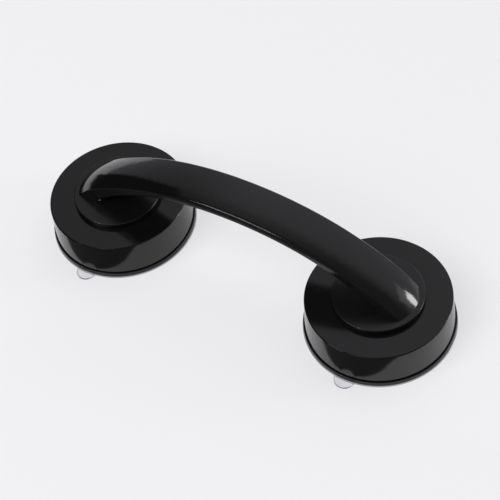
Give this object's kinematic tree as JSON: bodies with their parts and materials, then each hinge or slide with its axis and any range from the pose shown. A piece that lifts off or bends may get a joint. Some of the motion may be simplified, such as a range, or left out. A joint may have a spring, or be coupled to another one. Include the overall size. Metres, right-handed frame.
{
  "type": "suction grab bar",
  "caption": "Arched grab bar with a seamed strap handle on round twist-lock suction cups with clear pads and small pull tabs.",
  "frame": {"origin": "middle of the bounding box, on the surface the pads stick to", "axes": "+X along the bar, +Z away from the surface, pull tabs towards -Y"},
  "size_m": [0.2528, 0.09, 0.0672],
  "materials": {
    "black_handle": "satin moulded ABS, smooth with a soft sheen",
    "black_cover": "satin moulded ABS, a little duller than the shell",
    "black_casing": "moulded ABS, satin top and glossier side",
    "black_base": "moulded ABS",
    "clear_soft": "clear glossy soft plastic",
    "cam_plastic": "natural acetal, satin",
    "lifter_plastic": "natural acetal, satin",
    "washer_plastic": "natural nylon",
    "steel": "bright zinc-plated steel"
  },
  "bodies": {
    "handle": {"handle_top_shell": "black_handle", "handle_bottom_cover": "black_cover", "cover_screws": "steel", "left_suction_pad": "clear_soft", "left_pressure_plate": "black_base", "left_foot_screws": "steel", "left_glide_washer": "washer_plastic", "left_thrust_washer": "washer_plastic", "right_suction_pad": "clear_soft", "right_pressure_plate": "black_base", "right_foot_screws": "steel", "right_glide_washer": "washer_plastic", "right_thrust_washer": "washer_plastic"},
    "left_turning_casing": {"left_twist_casing": "black_casing", "left_cam_sleeve": "cam_plastic", "left_cam_screws": "steel"},
    "left_lifting_post": {"left_lifter": "lifter_plastic", "left_cross_pin": "steel"},
    "left_tab": {"left_pull_tab": "clear_soft"},
    "right_turning_casing": {"right_twist_casing": "black_casing", "right_cam_sleeve": "cam_plastic", "right_cam_screws": "steel"},
    "right_lifting_post": {"right_lifter": "lifter_plastic", "right_cross_pin": "steel"},
    "right_tab": {"right_pull_tab": "clear_soft"}
  },
  "joints": [
    {"name": "left_twist", "type": "hinge", "parent": "handle", "child": "left_turning_casing", "pos_m": [-0.0839, 0.0025, 0.02426], "axis": [0, 0, 1], "range_deg": [0, 90]},
    {"name": "left_lift", "type": "slide", "parent": "handle", "child": "left_lifting_post", "axis": [0, 0, 1], "range_m": [-0.003, 0], "deforming": ["left_suction_pad"]},
    {"name": "left_tab_flex", "type": "hinge", "parent": "handle", "child": "left_tab", "pos_m": [-0.0839, -0.0407, 0.0005], "axis": [-1, 0, 0], "range_deg": [0, 60], "stiffness_Nm_per_rad": 0.01},
    {"name": "right_twist", "type": "hinge", "parent": "handle", "child": "right_turning_casing", "pos_m": [0.0839, 0.0025, 0.02426], "axis": [0, 0, 1], "range_deg": [0, 90]},
    {"name": "right_lift", "type": "slide", "parent": "handle", "child": "right_lifting_post", "axis": [0, 0, 1], "range_m": [-0.003, 0], "deforming": ["right_suction_pad"]},
    {"name": "right_tab_flex", "type": "hinge", "parent": "handle", "child": "right_tab", "pos_m": [0.0839, -0.0407, 0.0005], "axis": [-1, 0, 0], "range_deg": [0, 60], "stiffness_Nm_per_rad": 0.01}
  ],
  "couplings": [
    {"joint": "left_lift", "follows": "left_twist", "m_per_rad": -0.0019098},
    {"joint": "right_lift", "follows": "right_twist", "m_per_rad": -0.0019098}
  ]
}
